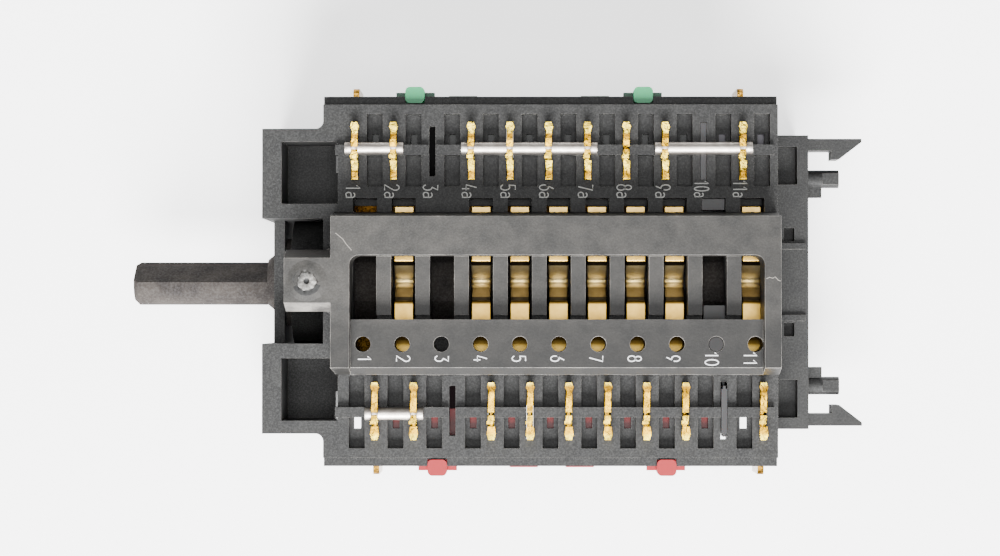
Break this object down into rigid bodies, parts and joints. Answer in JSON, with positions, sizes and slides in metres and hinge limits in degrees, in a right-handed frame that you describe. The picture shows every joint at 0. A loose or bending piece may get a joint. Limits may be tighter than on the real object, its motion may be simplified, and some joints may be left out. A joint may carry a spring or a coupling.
{
  "type": "oven selector switch",
  "caption": "Long rotary cam switch with a D-shaft, two rows of blade terminals, leaf springs in an open window, coloured locking combs and fixing ears.",
  "frame": {"origin": "on the shaft's axis, in the plane of the fixing ears' front faces", "axes": "+X runs along the shaft from its knob end to the rear, +Z points out of the contact side, +Y towards the upper terminal row"},
  "size_m": [0.0969, 0.0504, 0.0344],
  "materials": {
    "housing_plastic": "glass-filled, matte charcoal",
    "cover_plastic": "matte charcoal",
    "end_plastic": "matte charcoal",
    "frame_plastic": "matte charcoal",
    "shaft_plastic": "satin black",
    "steel": "polished",
    "spring_steel": "drawn wire",
    "green_plastic": "satin green",
    "red_plastic": "satin red",
    "grey_plastic": "satin grey",
    "silver": "bright contact metal",
    "brass": "stamped",
    "leaf_brass": "rolled strip",
    "tinned_wire": "tinned"
  },
  "bodies": {
    "switch_body": {"blank_insert_lower": "grey_plastic", "blank_insert_upper": "grey_plastic", "contact_frame": "frame_plastic", "detent_spring": "spring_steel", "end_plate": "end_plastic", "fixed_contact_buttons": "silver", "housing": "housing_plastic", "leaf_spring_02": "leaf_brass", "leaf_spring_04": "leaf_brass", "leaf_spring_05": "leaf_brass", "leaf_spring_06": "leaf_brass", "leaf_spring_07": "leaf_brass", "leaf_spring_08": "leaf_brass", "leaf_spring_09": "leaf_brass", "leaf_spring_11": "leaf_brass", "lower_jumper_01_02": "tinned_wire", "lower_locking_comb": "red_plastic", "lower_terminal_01": "brass", "lower_terminal_02": "brass", "lower_terminal_04": "brass", "lower_terminal_05": "brass", "lower_terminal_06": "brass", "lower_terminal_07": "brass", "lower_terminal_08": "brass", "lower_terminal_09": "brass", "lower_terminal_11": "brass", "moving_contact_buttons": "silver", "rear_cover": "cover_plastic", "upper_jumper_01_02": "tinned_wire", "upper_jumper_04_07": "tinned_wire", "upper_jumper_09_11": "tinned_wire", "upper_locking_comb": "green_plastic", "upper_terminal_01": "brass", "upper_terminal_02": "brass", "upper_terminal_04": "brass", "upper_terminal_05": "brass", "upper_terminal_06": "brass", "upper_terminal_07": "brass", "upper_terminal_08": "brass", "upper_terminal_09": "brass", "upper_terminal_11": "brass"},
    "camshaft": {"camshaft": "shaft_plastic"},
    "detent_ball": {"detent_ball": "steel"}
  },
  "joints": [
    {"name": "camshaft_spin", "type": "hinge", "parent": "switch_body", "child": "camshaft", "pos_m": [0, 0, 0], "axis": [1, 0, 0], "continuous": true},
    {"name": "detent_slide", "type": "slide", "parent": "switch_body", "child": "detent_ball", "axis": [0, 0, -1], "range_m": [0, 0.0011], "stiffness_N_per_m": 500, "springref_m": -0.0015, "deforming": ["detent_spring"]}
  ]
}
